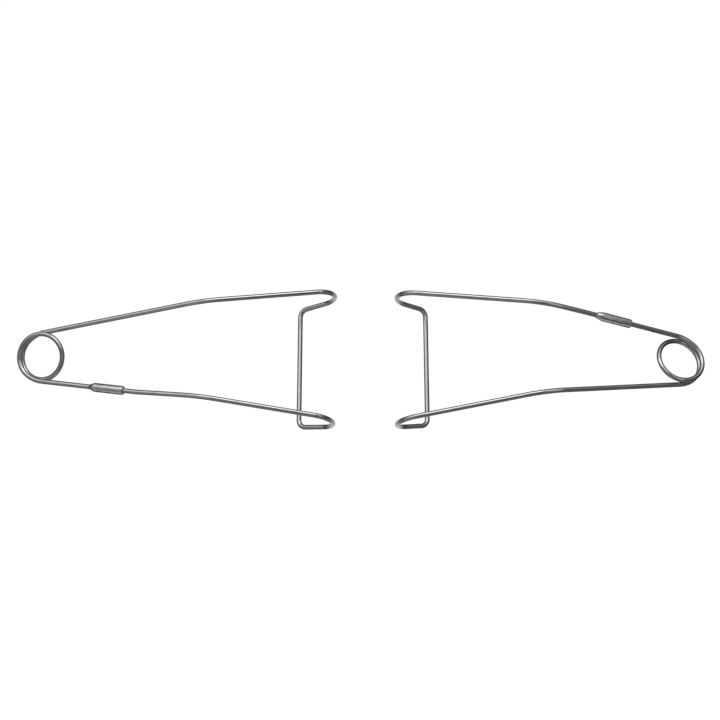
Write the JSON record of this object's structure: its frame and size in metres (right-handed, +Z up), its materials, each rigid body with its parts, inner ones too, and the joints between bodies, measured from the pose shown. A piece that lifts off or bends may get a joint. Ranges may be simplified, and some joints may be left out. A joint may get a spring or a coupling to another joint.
{
  "type": "eyelid retractor",
  "caption": "Spring-wire lid retractors in a pair, each a closed loop with a coiled ring, bowed arms, a joining sleeve and a hooked lid bar.",
  "frame": {"origin": "on the table under the middle of the pair, between the two hooks", "axes": "+X along the pair, from the left retractor's ring to the right one's, and +Z up from the table on which they lie"},
  "size_m": [0.0856, 0.017, 0.0078],
  "materials": {
    "wire": "drawn spring wire, lightly polished",
    "sleeve": "satin turned tube",
    "solder": "dull silver solder"
  },
  "bodies": {
    "left_ring_end": {"left_ring": "wire", "left_sleeve_arm_tail": "wire", "left_plain_arm_rear": "wire", "left_sleeve_arm_rear": "wire", "left_joining_sleeve": "sleeve", "left_solder": "solder"},
    "left_hook_end": {"left_plain_arm_front": "wire", "left_sleeve_arm_front": "wire", "left_plain_hook": "wire", "left_sleeve_hook": "wire", "left_lid_bar": "wire"},
    "right_ring_end": {"right_ring": "wire", "right_sleeve_arm_tail": "wire", "right_plain_arm_rear": "wire", "right_sleeve_arm_rear": "wire", "right_joining_sleeve": "sleeve", "right_solder": "solder"},
    "right_hook_end": {"right_plain_arm_front": "wire", "right_sleeve_arm_front": "wire", "right_plain_hook": "wire", "right_sleeve_hook": "wire", "right_lid_bar": "wire"}
  },
  "joints": [
    {"name": "left_flex", "type": "hinge", "parent": "left_ring_end", "child": "left_hook_end", "pos_m": [-0.01952, 0.00048, 0.00745], "axis": [-0.0265, -0.9996, -0.0005], "range_deg": [0, 8], "stiffness_Nm_per_rad": 0.001},
    {"name": "spread", "type": "slide", "parent": "left_ring_end", "child": "right_ring_end", "axis": [1, 0, 0], "range_m": [-0.005, 0.015]},
    {"name": "right_flex", "type": "hinge", "parent": "right_ring_end", "child": "right_hook_end", "pos_m": [0.02246, 0.0007, 0.00741], "axis": [-0.017, 0.9999, -0.0008], "range_deg": [0, 8], "stiffness_Nm_per_rad": 0.001}
  ]
}
